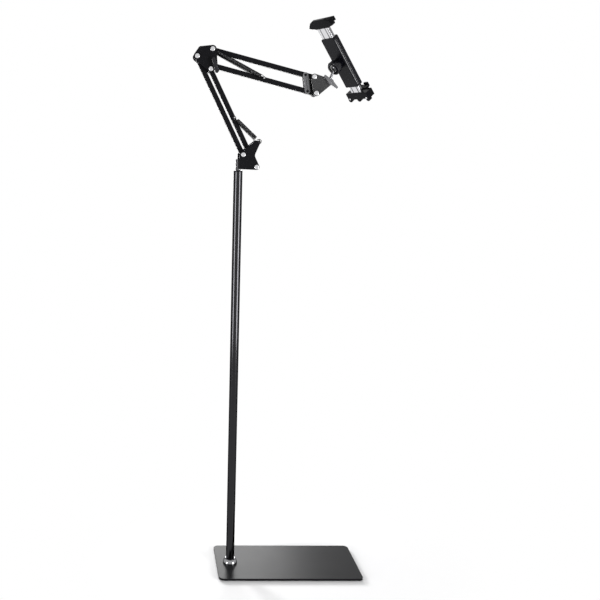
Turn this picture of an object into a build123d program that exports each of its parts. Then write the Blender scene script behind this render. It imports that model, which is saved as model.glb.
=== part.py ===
from build123d import *
import os
from math import atan2, cos, degrees, pi, radians, sin, sqrt

os.makedirs("parts", exist_ok=True)

# Adjustable tablet floor stand, in millimetres.
# The pole's axis is Z, the floor is Z = 0 and the arms work in the plane Y = 0.
# The plate is long in X, and the arms reach towards +X.

# Clearances shared by many pieces
running_gap = 0.06        # radial, shaft in its bore
loose_gap = 0.15          # radial, bolt in a plain hole
seat_gap = 0.3            # between faces that only rest near each other
cut_over = 1.0            # how far a cut runs past the face that it opens

# Base plate and mat
plate_length = 375.0
plate_depth = 187.0
plate_thickness = 5.5
plate_corner_radius = 14.0
plate_edge_chamfer = 0.7
plate_left_of_pole = 37.0     # pole axis to the plate's left edge
plate_front_of_pole = 89.0    # pole axis to the plate's front edge
mat_thickness = 2.0
mat_inset = 5.0

# Foot stud, plug and collar
stud_radius = 4.0
stud_head_radius = 8.0
stud_head_height = 3.6
stud_length = 34.0
foot_plug_length = 40.0
collar_radius = 18.6
collar_height = 14.5
collar_rim_height = 2.0
collar_neck_wall = 1.9
collar_neck_height = 3.0

# Pole
pole_radius = 11.0
pole_wall = 1.5
pole_top = 1049.0
seam_height = 540.0
seam_gap = 0.4
plug_fit_gap = 0.05
joint_socket_length = 36.0
joint_plug_length = 28.0
joint_thread_radius = 7.0
joint_thread_length = 30.0

# Bush and swivel pin
bush_flange = 2.5
bush_length = 64.0
bush_floor = 3.0
pin_radius = 6.0
pin_top_above_pole = 28.0
pin_flat_above_pole = 3.0
rivet_radius = 1.8
rivet_head_radius = 3.2
rivet_head_height = 1.3
pin_rivet_spacing = 11.0

# Sheet metal of the bracket, the elbow and the front bracket
sheet = 1.8
bar_size = 12.0
bar_wall = 1.2
bar_corner = 0.9
side_gap = 0.3            # bar to sleeve
spring_radius = 5.0       # outer radius of the arm springs
spring_side_gap = 0.6     # bar or cheek to spring
cheek_inner = bar_size / 2 + 2 * spring_radius + 2 * spring_side_gap
cheek_outer = cheek_inner + sheet
spring_y = bar_size / 2 + spring_side_gap + spring_radius

# Pivots in the arm plane, as (X, Z)
lower_pivot_x = 10.0          # rear lower pivot, right of the pole's axis
lower_pivot_rise = 39.0       # rear lower pivot, above the pole's top
lower_arm_length = 260.0
lower_arm_angle = 116.3       # degrees from +X at rest
lower_link_length = 44.5
lower_link_angle = -42.0
elbow_rise = 16.3             # upper pivot over the rear elbow pivot
elbow_run = 36.5
upper_arm_length = 254.0
upper_arm_angle = -14.7
upper_link_length = 38.8
upper_link_angle = -81.1
front_link_distance = 20.0     # short link, behind the front bracket's pivots
front_link_width = 13.0
front_link_sheet = 1.5
nose_run = 38.9               # wing bolt from the front bracket's upper pivot
nose_drop = 12.0

# Pivot bolts, nuts and sleeves
bolt_radius = 3.0
bolt_head_radius = 5.8
bolt_head_height = 3.6
bolt_dome_share = 0.55
nut_flats = 10.0
nut_height = 5.0
bolt_tip = 1.5
sleeve_radius = 4.6

# Bracket at the pole's top
bracket_gap = 4.0             # pole top to the bracket's lower edge
bracket_lobe = 7.0
anchor_x = 48.0               # spring anchor, right of the pole's axis
anchor_above_pole = 69.5
anchor_radius = 3.4
anchor_head_radius = 3.0
anchor_head_height = 1.2

# Arm springs
spring_wire = 1.5
spring_pin_radius = 1.8
spring_pin_offset = 2.8       # pin's centre, off the bar's axis towards its neighbour
lower_pin_distance = 131.0       # along the right lower bar, from its lower pivot
upper_pin_distance = 123.0       # along the bottom bar, from the elbow
lower_spring_curls = 14
upper_spring_curls = 26
spring_hook_gap = 0.3

# Elbow knob
knob_hub_radius = 5.6
knob_length = 38.0
knob_width = 10.0
knob_height = 9.6
knob_edge = 2.2
knob_lean = 18.0              # degrees, wing from the vertical at rest

# Front bracket and wing bolt
nose_radius = 6.5
wing_length = 45.0
wing_width = 11.0
wing_thickness = 5.0
wing_hub_radius = 6.5
wing_hub_height = 6.0
wing_lean = -42.5             # degrees from +X at rest

# Stem and ball
stem_length = 37.8            # wing bolt to the ball's centre
stem_angle = 69.9             # degrees from +X at rest
stem_radius = 3.2
stem_neck_radius = 2.7
stem_eye_radius = 7.0
stem_eye_width = 11.0
ball_radius = 8.5

# Ball socket
cup_wall = 0.9
cup_gap = 0.1
socket_wall = 3.0
socket_mouth_height = 5.4     # socket's rim, past the ball's centre
seat_mouth_angle = 60.0       # from the socket's axis to the seat's edge
seat_step_angle = 84.0        # from there the seat is wider, for the pad
pad_edge_angle = 125.0        # from the stem's side to the pad's edge
cup_end_angle = 178.0
socket_slits = 4
socket_slit_width = 1.2
ring_wall = 3.6
ring_height = 11.0
ring_lip = 1.5
ring_gap = 0.15
ring_grips = 16
ring_grip_radius = 1.1

# Holder: its back faces the stem, at this bearing and slope
holder_bearing = 207.9        # degrees, back normal seen from above, from +X
holder_slope = -38.0          # degrees, back normal under the horizon
holder_standoff = 17.0        # ball's centre to the holder's back
holder_length = 138.0
holder_width = 43.0
holder_depth = 17.0
holder_shift = 1.5            # housing's middle, past the ball towards the lower jaw
holder_wall = 2.2
holder_corner = 3.0
cover_depth = 2.4
cover_inset = 1.4

# Rails of the jaws, one channel inside the other
rail_width = 37.6
rail_depth = 8.5
rail_sheet = 1.2
rail_gap = 0.3
upper_rail_inside = 88.0      # inside the housing at rest
lower_rail_inside = 95.0
upper_show = 36.0             # housing to the tablet's edge, upper side
lower_show = 16.0
cover_rib_width = 3.0

# Jaws, measured outward from the tablet's edge and down from the holder's back
tablet_thickness = 11.0       # clear mouth of the jaws
tablet_stand = 2.0            # cover's front to the mouth's back face
jaw_back_gap = 1.0            # holder's back to the jaws' back face
jaw_lip = 4.0
jaw_lip_reach = 7.0
jaw_lip_width = 13.0
jaw_wall_width = 40.0         # wall and lips, in the middle of a jaw
jaw_wall_foot = 3.5           # wall's outer face at the lips
jaw_edge = 1.2
jaw_pocket = 7.0              # rail's end, outward past the tablet's edge
pad_thickness = 1.6
pad_inset = 1.5
upper_jaw_width = 85.0
upper_jaw_behind = 8.5        # inward behind the tablet, in the middle
upper_jaw_behind_end = 4.5
upper_jaw_middle = 42.0       # straight middle part
upper_jaw_out = 15.0
upper_jaw_shoulder_out = 10.0
upper_jaw_shoulder = 66.0     # width at the shoulders
upper_jaw_end_depth = 10.0
lower_jaw_width = 73.0
lower_jaw_in = 3.0
lower_jaw_out = 21.0
lower_jaw_depth = 21.0
lower_wall_out = 9.0
lug_radius = 6.0
lug_height = 9.0
lug_spacing = 31.0
jaw_screw_out = 18.0
jaw_screw_spacing = 29.0
jaw_screw_radius = 1.5
jaw_screw_head_radius = 2.6
jaw_screw_head_height = 1.4
jaw_screw_length = 8.0


# Places in the arm plane

def polar(length, angle):
    """A run and a rise of the given length, at an angle in degrees from +X."""
    return Vector(length * cos(radians(angle)), length * sin(radians(angle)))


lower_link = polar(lower_link_length, lower_link_angle)
upper_link = polar(upper_link_length, upper_link_angle)
lower_reach = polar(lower_arm_length, lower_arm_angle)
upper_reach = polar(upper_arm_length, upper_arm_angle)
pivot_b1 = Vector(lower_pivot_x, pole_top + lower_pivot_rise)
pivot_b2 = pivot_b1 + lower_link
pivot_p1 = pivot_b1 + lower_reach
pivot_p3 = pivot_b2 + lower_reach
pivot_p2 = pivot_p1 + Vector(elbow_run, elbow_rise)
pivot_p4 = pivot_p2 + upper_link
pivot_f1 = pivot_p2 + upper_reach
pivot_f2 = pivot_p4 + upper_reach
link_back = polar(front_link_distance, upper_arm_angle)
pivot_l1 = pivot_f1 - link_back
pivot_l2 = pivot_f2 - link_back
nose = pivot_f1 + Vector(nose_run, -nose_drop)
anchor = Vector(anchor_x, pole_top + anchor_above_pole)
lower_side = polar(spring_pin_offset, lower_arm_angle - 90)
upper_side = polar(spring_pin_offset, upper_arm_angle + 90)
lower_pin = pivot_b2 + polar(lower_pin_distance, lower_arm_angle) + lower_side
upper_pin = pivot_p4 + polar(upper_pin_distance, upper_arm_angle) + upper_side


# Shapes that many pieces share

def slab(outline, y_low, y_high):
    """Solid of an arm-plane outline between two places in Y."""
    return extrude(Plane.XZ.offset(-y_low) * outline, amount=y_high - y_low, dir=(0, 1, 0))


def disc(place, radius):
    """Round outline in the arm plane."""
    return Pos(place.X, place.Y) * Circle(radius)


def rod(place, radius, y_low, y_high):
    """Round bar along Y at a place in the arm plane."""
    return slab(disc(place, radius), y_low, y_high)


def belt(lobes):
    """Outline drawn taut round lobes, as a belt runs over pulleys.

    Each lobe is a centre and a radius, in order against the clock. A negative
    radius puts the lobe outside the outline and makes a hollow there.
    """
    normals = []
    for (here, r_here), (there, r_there) in zip(lobes, lobes[1:] + lobes[:1]):
        way = there - here
        bearing = atan2(way.Y, way.X)
        lean = (r_here - r_there) / way.length
        side = bearing - (pi / 2 - atan2(lean, sqrt(1 - lean * lean)))
        normals.append(side)
    edges = []
    for k, (centre, radius) in enumerate(lobes):
        came, goes = normals[k - 1], normals[k]
        if radius > 0:
            turn = (goes - came) % (2 * pi)
        else:
            turn = -((came - goes) % (2 * pi))
        on_rim = [centre + Vector(cos(a), sin(a)) * radius for a in (came, came + turn / 2, goes)]
        edges.append(ThreePointArc(*on_rim))
        nxt, nxt_radius = lobes[(k + 1) % len(lobes)]
        edges.append(Line(on_rim[2], nxt + Vector(cos(goes), sin(goes)) * nxt_radius))
    return make_face(Wire(edges))


def tube_z(outer, inner, low, high):
    """Upright tube about the pole's axis."""
    ring = Circle(outer) - Circle(inner)
    return Pos(0, 0, low) * extrude(ring, amount=high - low)


def turned(points):
    """Solid turned about Z from a closed outline of (radius, height) points."""
    kept = [p for k, p in enumerate(points) if p != points[k - 1]]
    outline = make_face(Plane.XZ * Polyline(*kept, close=True))
    return revolve(outline, Axis.Z)


def save(name, shape):
    """Write one node; several solids stay apart in one compound."""
    export_step(shape if not isinstance(shape, list) else Compound(children=shape), f"parts/{name}.step")


# Base: mat, plate, stud, foot plug and collar

plate_bottom = mat_thickness
plate_top = mat_thickness + plate_thickness
plate_middle_x = plate_length / 2 - plate_left_of_pole
plate_middle_y = plate_depth / 2 - plate_front_of_pole


def base_plate():
    """Heavy steel plate, its top edge broken all round, with the stud's tapered seat below."""
    outline = RectangleRounded(plate_length, plate_depth, plate_corner_radius)
    plate = extrude(Pos(plate_middle_x, plate_middle_y, plate_bottom) * outline, amount=plate_thickness)
    plate = chamfer(plate.faces().sort_by(Axis.Z)[-1].edges(), plate_edge_chamfer)
    seat = stud_profile(loose_gap)
    return plate - seat


def stud_profile(extra):
    """Countersunk stud about the pole's axis, grown by a clearance."""
    low = plate_bottom - (cut_over if extra else 0)
    neck = plate_bottom + stud_head_height
    top = plate_bottom + stud_length
    return turned([
        (0, low),
        (stud_head_radius + extra, low),
        (stud_head_radius + extra, plate_bottom),
        (stud_radius + extra, neck + extra),
        (stud_radius + extra, top),
        (0, top),
    ])


def base_mat():
    """Non-slip sheet under the plate, a little smaller all round."""
    width = plate_length - 2 * mat_inset
    depth = plate_depth - 2 * mat_inset
    outline = RectangleRounded(width, depth, plate_corner_radius - mat_inset)
    return extrude(Pos(plate_middle_x, plate_middle_y) * outline, amount=mat_thickness)


def foot_collar():
    """Trumpet nut: a wide rim, a hollow curved flank and a short neck round the pole."""
    bore = pole_radius + loose_gap
    neck = bore + collar_neck_wall
    rim_top = plate_top + collar_rim_height
    top = plate_top + collar_height
    shoulder = top - collar_neck_height
    flank = RadiusArc((collar_radius, rim_top), (neck, shoulder), -(collar_radius - neck) * 2)
    lines = [
        Line((bore, plate_top), (collar_radius, plate_top)),
        Line((collar_radius, plate_top), (collar_radius, rim_top)),
        flank,
        Line((neck, shoulder), (neck, top)),
        Line((neck, top), (bore, top)),
        Line((bore, top), (bore, plate_top)),
    ]
    return revolve(Plane.XZ * make_face(Wire(lines)), Axis.Z)


pole_bore = pole_radius - pole_wall
plug_radius = pole_bore - plug_fit_gap
upper_low = seam_height + seam_gap
tube_top = pole_top - bush_flange


def foot_plug():
    """Steel plug in the pole's foot, bored for the stud."""
    return tube_z(plug_radius, stud_radius + loose_gap, plate_top, plate_top + foot_plug_length)


def joint_socket():
    """Threaded ring flush inside the lower tube's mouth."""
    bore = joint_thread_radius + loose_gap
    return tube_z(plug_radius, bore, seam_height - joint_socket_length, seam_height)


def joint_plug():
    """Plug in the upper tube's foot, with the threaded spigot that reaches down."""
    return turned([
        (0, upper_low - joint_thread_length),
        (joint_thread_radius - loose_gap, upper_low - joint_thread_length),
        (joint_thread_radius, upper_low - joint_thread_length + loose_gap),
        (joint_thread_radius, upper_low),
        (plug_radius, upper_low),
        (plug_radius, upper_low + joint_plug_length),
        (0, upper_low + joint_plug_length),
    ])


def pole_bush():
    """Flanged blind bush in the pole's top, where the swivel pin turns."""
    bore = pin_radius + running_gap
    low = tube_top - bush_length
    return turned([
        (0, low),
        (plug_radius, low),
        (plug_radius, tube_top),
        (pole_radius, tube_top),
        (pole_radius, pole_top),
        (bore, pole_top),
        (bore, low + bush_floor),
        (0, low + bush_floor),
    ])


save("base_mat", base_mat())
save("base_plate", base_plate())
save("foot_stud", stud_profile(0))
save("foot_plug", foot_plug())
save("foot_collar", foot_collar())
save("pole_lower_tube", tube_z(pole_radius, pole_bore, plate_top, seam_height))
save("pole_joint_socket", joint_socket())
save("pole_joint_plug", joint_plug())
save("pole_upper_tube", tube_z(pole_radius, pole_bore, upper_low, tube_top))
save("pole_bush", pole_bush())


# Fasteners of the arm

def pivot_bolt(place):
    """Bolt through both cheeks: a domed head on the near side, a plain shank, a chamfered tip."""
    dome = bolt_head_height * bolt_dome_share
    under = -cheek_outer
    head = slab(disc(place, bolt_head_radius), under - bolt_head_height, under)
    head = fillet(head.faces().sort_by(Axis.Y)[0].edges(), dome)
    tip = cheek_outer + nut_height + bolt_tip
    shank = rod(place, bolt_radius, under - dome, tip)
    shank = chamfer(shank.faces().sort_by(Axis.Y)[-1].edges(), bolt_tip / 2)
    return head + shank


def pivot_nut(place):
    """Hexagon nut on the far side."""
    blank = Pos(place.X, place.Y) * RegularPolygon(nut_flats / sqrt(3), 6)
    return slab(blank - disc(place, bolt_radius + running_gap), cheek_outer, cheek_outer + nut_height)


def sleeves(place):
    """Two sleeves that keep a bar in the middle between the cheeks."""
    ring = disc(place, sleeve_radius) - disc(place, bolt_radius + running_gap)
    near = -cheek_inner
    bar_face = bar_size / 2 + side_gap
    return [slab(ring, near, -bar_face), slab(ring, bar_face, cheek_inner)]


def cheek_pair(outline, holes):
    """The near and far cheeks of one outline, with round holes as (place, radius)."""
    for place, radius in holes:
        outline = outline - disc(place, radius)
    near = slab(outline, -cheek_outer, -cheek_inner)
    far = slab(outline, cheek_inner, cheek_outer)
    return near, far


# Swivel pin and bracket

bracket_low = pole_top + bracket_gap
pin_top = pole_top + pin_top_above_pole
pin_low = tube_top - bush_length + bush_floor + seat_gap
rivet_heights = [bracket_low + pin_rivet_spacing / 2, bracket_low + pin_rivet_spacing * 3 / 2]


def swivel_pin():
    """Round pin that turns in the pole; its upper half is milled flat against the web."""
    pin = Pos(0, 0, pin_low) * Cylinder(
        pin_radius, pin_top - pin_low, align=(Align.CENTER, Align.CENTER, Align.MIN))
    flat_low = pole_top + pin_flat_above_pole
    flat = Pos(0, 0, flat_low) * Box(
        pin_radius + cut_over, 2 * (pin_radius + cut_over), pin_top - flat_low + cut_over,
        align=(Align.MIN, Align.CENTER, Align.MIN))
    return pin - flat - rivet_bores()


def rivet_bores():
    """Cross bores of the two rivets, through the pin and the web."""
    bores = [
        Pos(0, 0, z) * Rot(0, 90, 0) * Cylinder(rivet_radius + running_gap, 2 * (pin_radius + cut_over))
        for z in rivet_heights
    ]
    return bores[0] + bores[1]


def pin_rivets():
    """Two rivets from the pin's round side to domed heads inside the web."""
    made = []
    for z in rivet_heights:
        start = -pin_radius
        inner = sheet + rivet_head_height
        shank = Pos(start, 0, z) * Rot(0, 90, 0) * Cylinder(
            rivet_radius, inner - start, align=(Align.CENTER, Align.CENTER, Align.MIN))
        head = Pos(sheet, 0, z) * Rot(0, 90, 0) * Cylinder(
            rivet_head_radius, rivet_head_height, align=(Align.CENTER, Align.CENTER, Align.MIN))
        head = fillet(head.faces().sort_by(Axis.X)[-1].edges(), rivet_head_height * bolt_dome_share)
        made.append(shank + head)
    return made


def base_bracket():
    """Pressed bracket: two waisted cheeks joined by a web behind the pin."""
    foot = Vector(sheet, bracket_low + sheet)
    waist_radius = 13.0 / 8 * bracket_lobe
    waist = pivot_b2 + Vector(bracket_lobe, pivot_b1.Y - pivot_b2.Y - sheet)
    tip = anchor + Vector(-bracket_lobe, 0)
    crown = pivot_b1 + Vector(-lower_pivot_x + bolt_head_radius, 0)
    outline = belt([
        (foot, sheet),
        (pivot_b2, bracket_lobe),
        (waist, -waist_radius),
        (anchor, anchor_radius),
        (tip, 2 * sheet),
        (crown, bolt_head_radius),
    ])
    bolt_hole = bolt_radius + loose_gap
    tail_hole = anchor_radius / 2 + running_gap
    holes = [(pivot_b1, bolt_hole), (pivot_b2, bolt_hole), (anchor, tail_hole)]
    near, far = cheek_pair(outline, holes)
    web = Pos(0, 0, bracket_low) * Box(
        sheet, 2 * cheek_outer, pin_top - bracket_low, align=(Align.MIN, Align.CENTER, Align.MIN))
    return near + far + web - rivet_bores()


def spring_anchors():
    """One riveted peg on each cheek; the middle stays free for the bars."""
    pegs = []
    for side in (-1, 1):
        inner = spring_y - spring_wire / 2 - spring_hook_gap
        places = sorted((side * inner, side * cheek_inner))
        peg = rod(anchor, anchor_radius, *places)
        tail = rod(anchor, anchor_radius / 2, *sorted((side * cheek_inner, side * cheek_outer)))
        faces = sorted((side * cheek_outer, side * (cheek_outer + anchor_head_height)))
        pegs.append(peg + tail + rod(anchor, anchor_head_radius, *faces))
    return pegs


# Bars

def bar(low, high, extra_holes=()):
    """Square tube with rounded ears at its ends, bored for its pivots and any spring pin."""
    half = bar_size / 2
    outer = slab(belt([(low, half), (high, half)]), -half, half)
    long_edges = outer.edges().filter_by(GeomType.LINE).filter_by(lambda e: e.length > bar_size)
    outer = fillet(long_edges, bar_corner)
    way = high - low
    middle = (low + high) / 2
    core = Box(way.length + bar_size + cut_over, bar_size - 2 * bar_wall, bar_size - 2 * bar_wall)
    core = Pos(middle.X, 0, middle.Y) * Rot(0, -degrees(atan2(way.Y, way.X)), 0) * core
    shell = outer - core
    for place, radius in [(low, bolt_radius + loose_gap), (high, bolt_radius + loose_gap), *extra_holes]:
        shell = shell - rod(place, radius, -bar_size, bar_size)
    return shell


def spring_pin(place):
    """Cross pin through a bar; the two springs hook on its ends."""
    reach = spring_y + spring_wire / 2 + spring_hook_gap + spring_wire
    pin = rod(place, spring_pin_radius, -reach, reach)
    ends = pin.faces().filter_by(GeomType.PLANE).edges()
    return chamfer(ends, spring_pin_radius / 4)


# Arm springs

def biarc(start, start_way, end, end_way):
    """Two arcs that leave one point in one direction and reach another in another."""
    chord = end - start
    both = start_way + end_way
    square = 2 * (1 - start_way.dot(end_way))
    along = chord.dot(both)
    if square < 1 / 10**6:
        step = chord.dot(chord) / (4 * chord.dot(end_way))
    else:
        step = (sqrt(along * along + square * chord.dot(chord)) - along) / square
    knee_a = start + start_way * step
    knee_b = end - end_way * step
    middle = (knee_a + knee_b) / 2
    middle_way = (knee_b - knee_a).normalized()
    return [Edge.make_tangent_arc(start, start_way, middle), Edge.make_tangent_arc(middle, middle_way, end)]


def spring_path(length, hook_a, hook_b, curls):
    """Centre line of one spring along +X, its eyes' centres at X = 0 and X = length.

    Each eye is most of a circle in the plane of X and Y. From the eye's top the wire bends
    into the coil, which winds about X, and bends back to the far eye's top.
    """
    coil = spring_radius - spring_wire / 2
    lead = 2 * coil
    coil_low = hook_a + lead
    coil_high = length - hook_b - lead
    pitch = (coil_high - coil_low) / curls

    def on_coil(turns):
        a = 2 * pi * turns
        place = Vector(coil_low + pitch * turns, coil * cos(a), coil * sin(a))
        way = Vector(pitch / (2 * pi), -coil * sin(a), coil * cos(a)).normalized()
        return place, way

    def eye_arcs(centre, radius, stops):
        """Arcs round an eye with the clock, through the given angles in degrees."""
        arcs = []
        for here, there in zip(stops, stops[1:]):
            a, b = radians(here), radians(there)
            start = Vector(centre + radius * cos(a), radius * sin(a), 0)
            end = Vector(centre + radius * cos(b), radius * sin(b), 0)
            arcs.append(Edge.make_tangent_arc(start, Vector(sin(a), -cos(a), 0), end))
        return arcs

    ahead = Vector(1, 0, 0)
    eye_a = eye_arcs(0, hook_a, (-20, -90, -180, -270))
    eye_b = eye_arcs(length, hook_b, (90, 0, -90, -160))
    start, end = eye_a[0] @ 0, eye_b[-1] @ 1
    edges = [Edge.make_line(start - (eye_a[0] % 0) * spring_wire, start), *eye_a]
    first, first_way = on_coil(0)
    edges += biarc(eye_a[-1] @ 1, ahead, first, first_way)
    for k in range(2 * curls):
        here, here_way = on_coil(k / 2)
        there, there_way = on_coil((k + 1) / 2)
        edges += biarc(here, here_way, there, there_way)
    last, last_way = on_coil(curls)
    edges += biarc(last, last_way, eye_b[0] @ 0, ahead)
    edges += [*eye_b, Edge.make_line(end, end + (eye_b[-1] % 1) * spring_wire)]
    return edges


def least_self_gap(edges):
    """Least gap between stretches of the tube that aren't neighbours, measured on points."""
    points = []
    run = 0
    for edge in edges:
        count = max(3, int(edge.length / (spring_wire / 3)))
        points += [(run + edge.length * k / count, edge @ (k / count)) for k in range(count)]
        run += edge.length
    neighbour = pi * spring_wire
    least = run
    for i, (place, point) in enumerate(points):
        far = [other for at, other in points[i + 1:] if at - place > neighbour]
        least = min([least, *((other - point).length for other in far)])
    return least - spring_wire


def arm_spring(name, eye_a, eye_b, hook_a, hook_b, curls, y):
    """One tension spring between two eyes in the arm plane; prints its least self-gap."""
    way = eye_b - eye_a
    edges = spring_path(way.length, hook_a, hook_b, curls)
    section = Plane(origin=edges[0] @ 0, z_dir=edges[0] % 0) * Circle(spring_wire / 2)
    tube = sweep(section, path=Wire(edges))
    tightest = min(e.radius for e in edges if e.geom_type == GeomType.CIRCLE)
    print(f"{name}: least self-gap {least_self_gap(edges):.2f} mm, tightest bend {tightest:.2f} mm")
    frame = Plane(origin=(eye_a.X, y, eye_a.Y), x_dir=(way.X, 0, way.Y), z_dir=(0, -1, 0))
    return frame.location * tube


peg_hook = anchor_radius + spring_hook_gap + spring_wire / 2
pin_hook = spring_pin_radius + spring_hook_gap + spring_wire / 2
sleeve_hook = sleeve_radius + spring_hook_gap + spring_wire / 2


# Elbow

def elbow_plates():
    """Two equal plates drawn taut round the four elbow pivots and a crown."""
    lobe = sleeve_radius + sheet
    crown = pivot_p1 + Vector(elbow_rise / 2, elbow_rise)
    outline = belt([
        (pivot_p1, lobe + 1.5 * sheet),
        (pivot_p3, lobe + sheet),
        (pivot_p4, lobe),
        (pivot_p2, lobe + 1.5 * sheet),
        (crown, lobe),
    ])
    bolt_hole = bolt_radius + loose_gap
    pivots = (pivot_p1, pivot_p2, pivot_p3, pivot_p4)
    return cheek_pair(outline, [(place, bolt_hole) for place in pivots])


def clamp_bolt():
    """Elbow's clamp bolt, put in from the far side; its threaded end stands out for the knob."""
    head = slab(disc(pivot_p4, bolt_head_radius), cheek_outer, cheek_outer + bolt_head_height)
    head = fillet(head.faces().sort_by(Axis.Y)[-1].edges(), bolt_head_height * bolt_dome_share)
    tip = -cheek_outer - knob_height + sheet
    return head + rod(pivot_p4, bolt_radius, tip, cheek_outer + bolt_head_height / 2)


def elbow_knob():
    """Moulded T knob: a long rounded wing on a round hub, blind-bored for the clamp bolt."""
    face = -cheek_outer - seat_gap
    hub = slab(disc(pivot_p4, knob_hub_radius), face - knob_height, face)
    half = (knob_length - knob_width) / 2
    lean = polar(half, 90 + knob_lean)
    wing = belt([(pivot_p4 + lean, knob_width / 2), (pivot_p4 - lean, knob_width / 2)])
    clear = -cheek_outer - bolt_head_height - seat_gap
    wing = slab(wing, face - knob_height, clear)
    wing = fillet(wing.faces().filter_by(Axis.Y).edges(), knob_edge)
    bore = rod(pivot_p4, bolt_radius + running_gap, face - knob_height + sheet, face + cut_over)
    return hub + wing - bore


# Short link and front bracket

def front_links():
    """Two flat links, one each side of the upper bars, with the rivets' holes."""
    outline = belt([(pivot_l1, front_link_width / 2), (pivot_l2, front_link_width / 2)])
    for place in (pivot_l1, pivot_l2):
        outline = outline - disc(place, rivet_radius + running_gap)
    inner = bar_size / 2 + seat_gap
    outer = inner + front_link_sheet
    return [slab(outline, -outer, -inner), slab(outline, inner, outer)]


def link_rivet(place):
    """Rivet through a bar and both links, domed at each end."""
    outer = bar_size / 2 + seat_gap + front_link_sheet
    shape = rod(place, rivet_radius, -outer, outer)
    for side in (-1, 1):
        faces = sorted((side * outer, side * (outer + rivet_head_height)))
        head = slab(disc(place, rivet_head_radius), *faces)
        rim = head.faces().sort_by(Axis.Y)[0 if side < 0 else -1].edges()
        shape = shape + fillet(rim, rivet_head_height * bolt_dome_share)
    return shape


def front_bracket():
    """Bracket at the arm's end: two nosed cheeks joined by a web under the nose."""
    lobe = sleeve_radius + 1.5 * sheet
    outline = belt([(pivot_f1, lobe), (pivot_f2, lobe), (nose, nose_radius)])
    bolt_hole = bolt_radius + loose_gap
    near, far = cheek_pair(outline, [(pivot_f1, bolt_hole), (pivot_f2, bolt_hole), (nose, bolt_hole)])
    way = (nose - pivot_f2).normalized()
    down = Vector(way.Y, -way.X)
    span = (nose - pivot_f2).length
    length = span - lobe - 2 * stem_eye_radius
    along = lobe + length / 2
    depth = lobe + (nose_radius - lobe) * along / span - sheet / 2
    middle = pivot_f2 + way * along + down * depth
    web = Pos(middle.X, 0, middle.Y) * Rot(0, -degrees(atan2(way.Y, way.X)), 0) * Box(
        length, 2 * cheek_inner + sheet, sheet)
    return near + far + web


def wing_bolt():
    """Wing-headed clamp bolt through the nose: a flat wing with drooping ends, hub and shank."""
    under = -cheek_outer - seat_gap
    hub = slab(disc(nose, wing_hub_radius), under - wing_hub_height, under)
    half = wing_length / 2
    tips = polar(half - wing_width / 4, wing_lean)
    wing = belt([(nose, wing_width / 2), (nose + tips, wing_width / 4)])
    wing = wing + belt([(nose, wing_width / 2), (nose - tips, wing_width / 4)])
    wing = slab(wing, under - wing_hub_height, under - wing_hub_height + wing_thickness)
    wing = fillet(wing.faces().filter_by(Axis.Y).edges(), wing_thickness / 4)
    shank = rod(nose, bolt_radius, under - cut_over, cheek_outer + nut_height + bolt_tip)
    return hub + wing + shank


# Stem and ball

ball_offset = polar(stem_length, stem_angle)
ball_place = nose + ball_offset
stem_way = Vector(ball_offset.X, 0, ball_offset.Y).normalized()
ball = Vector(ball_place.X, 0, ball_place.Y)


def stem():
    """Chromed stem: an eye on the wing bolt, a straight shank, a neck and the ball."""
    eye = slab(disc(nose, stem_eye_radius), -stem_eye_width / 2, stem_eye_width / 2)
    eye = chamfer(eye.faces().filter_by(Axis.Y).edges(), stem_neck_radius / 4)
    neck_low = stem_length - ball_radius - stem_radius
    profile = turned([
        (0, 0),
        (stem_radius, 0),
        (stem_radius, neck_low),
        (stem_neck_radius, neck_low + stem_radius - stem_neck_radius),
        (stem_neck_radius, stem_length),
        (0, stem_length),
    ])
    up = Plane(origin=(nose.X, 0, nose.Y), z_dir=stem_way)
    bore = rod(nose, bolt_radius + loose_gap, -stem_eye_width, stem_eye_width)
    ball_solid = Pos(ball.X, ball.Y, ball.Z) * Sphere(ball_radius)
    return eye + up.location * profile + ball_solid - bore


# Ball joint, built about the ball with the holder's back normal as Z

holder_normal = Vector(
    cos(radians(holder_slope)) * cos(radians(holder_bearing)),
    cos(radians(holder_slope)) * sin(radians(holder_bearing)),
    sin(radians(holder_slope)))
holder_cross = Vector(-sin(radians(holder_bearing)), cos(radians(holder_bearing)), 0)
holder_plane = Plane(origin=ball, x_dir=holder_cross.cross(holder_normal), z_dir=holder_normal)
pad_inner = ball_radius + cup_gap
pad_outer = pad_inner + cup_wall
seat_inner = pad_outer + cup_gap
seat_outer = seat_inner + cup_wall
socket_inner = seat_outer + cup_gap
socket_outer = socket_inner + socket_wall


def on_ball(radius, angle):
    """Point of a ball's outline at an angle from +Z in degrees, as (radius, height)."""
    return radius * sin(radians(angle)), radius * cos(radians(angle))


def ball_pad():
    """Thin friction pad behind the ball, about the stem's axis."""
    low, high = pad_edge_angle, cup_end_angle
    inner = [on_ball(pad_inner, angle) for angle in (low, (low + high) / 2, high)]
    outer = [on_ball(pad_outer, angle) for angle in (high, (low + high) / 2, low)]
    lines = [
        ThreePointArc(*inner), Line(inner[2], outer[0]),
        ThreePointArc(*outer), Line(outer[2], inner[0]),
    ]
    pad = revolve(Plane.XZ * make_face(Wire(lines)), Axis.Z)
    return Plane(origin=ball, z_dir=-stem_way).location * pad


def ball_seat():
    """Thin seat round ball and pad; its narrow mouth holds the ball."""
    steps = [
        (pad_inner, seat_mouth_angle, seat_step_angle),
        (seat_inner, seat_step_angle, cup_end_angle),
        (seat_outer, cup_end_angle, seat_mouth_angle),
    ]
    lines = []
    for k, (radius, start, end) in enumerate(steps):
        arc = [on_ball(radius, angle) for angle in (start, (start + end) / 2, end)]
        next_radius, next_start, _ = steps[(k + 1) % len(steps)]
        lines += [ThreePointArc(*arc), Line(arc[2], on_ball(next_radius, next_start))]
    return revolve(Plane.XZ * make_face(Wire(lines)), Axis.Z)


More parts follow.
